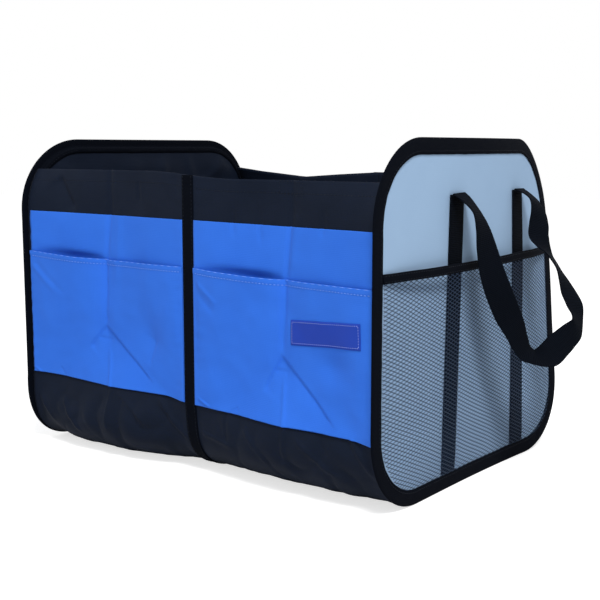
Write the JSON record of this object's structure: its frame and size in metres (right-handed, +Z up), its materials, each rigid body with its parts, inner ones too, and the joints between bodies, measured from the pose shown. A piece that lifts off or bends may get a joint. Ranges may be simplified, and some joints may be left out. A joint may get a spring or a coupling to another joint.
{
  "type": "car trunk organizer",
  "caption": "Folding cloth trunk organizer with stiff bound end panels, webbing handles, mesh end pockets, divided inside and flat front pockets.",
  "frame": {"origin": "centre of the footprint on the floor, the middle of the bounding box's underside", "axes": "+X along the organizer, -Y out of the front pocket wall, +Z up"},
  "size_m": [0.6811, 0.41, 0.37],
  "materials": {
    "black_cloth": "plain-woven coated polyester, dull sheen",
    "black_tape": "matt folded binding tape with one stitch line",
    "blue_cloth": "plain-woven coated polyester, soft sheen",
    "pale_cloth": "smooth pale grey-blue woven cloth over board",
    "net_mesh": "open knitted net of fine slate thread",
    "webbing": "30 mm ribbed polypropylene webbing",
    "woven_label": "bare satin-woven patch with a stitched edge",
    "stiff_board": "hidden stiffening board"
  },
  "bodies": {
    "bag": {"right_end_board": "stiff_board", "right_outer_face": "pale_cloth", "right_inner_lining": "black_cloth", "right_edge_binding": "black_tape", "right_mesh_pocket": "net_mesh", "right_mesh_band": "black_tape", "right_strap_front": "webbing", "right_strap_rear": "webbing", "right_shell_cloth": "black_cloth", "front_blue_panel_right": "blue_cloth", "back_blue_panel_right": "blue_cloth", "front_pocket_right": "blue_cloth", "right_base_board": "stiff_board", "divider_cloth_right": "black_cloth", "left_end_board": "stiff_board", "left_outer_face": "pale_cloth", "left_inner_lining": "black_cloth", "left_edge_binding": "black_tape", "left_mesh_pocket": "net_mesh", "left_mesh_band": "black_tape", "left_strap_front": "webbing", "left_strap_rear": "webbing", "left_shell_cloth": "black_cloth", "front_blue_panel_left": "blue_cloth", "back_blue_panel_left": "blue_cloth", "front_pocket_left": "blue_cloth", "left_base_board": "stiff_board", "divider_cloth_left": "black_cloth", "divider_board": "stiff_board", "divider_top_binding": "black_tape", "centre_binding": "black_tape", "label_patch": "woven_label"},
    "right_handle": {"right_handle_loop": "webbing"},
    "left_handle": {"left_handle_loop": "webbing"}
  },
  "joints": [
    {"name": "right_handle_swing", "type": "hinge", "parent": "bag", "child": "right_handle", "pos_m": [0.25149, -0.0485, 0.313], "axis": [0.0501, -0.9987, 0], "range_deg": [-10, 110]},
    {"name": "left_handle_swing", "type": "hinge", "parent": "bag", "child": "left_handle", "pos_m": [-0.2515, -0.0485, 0.313], "axis": [0, 1, 0], "range_deg": [-10, 110]}
  ]
}
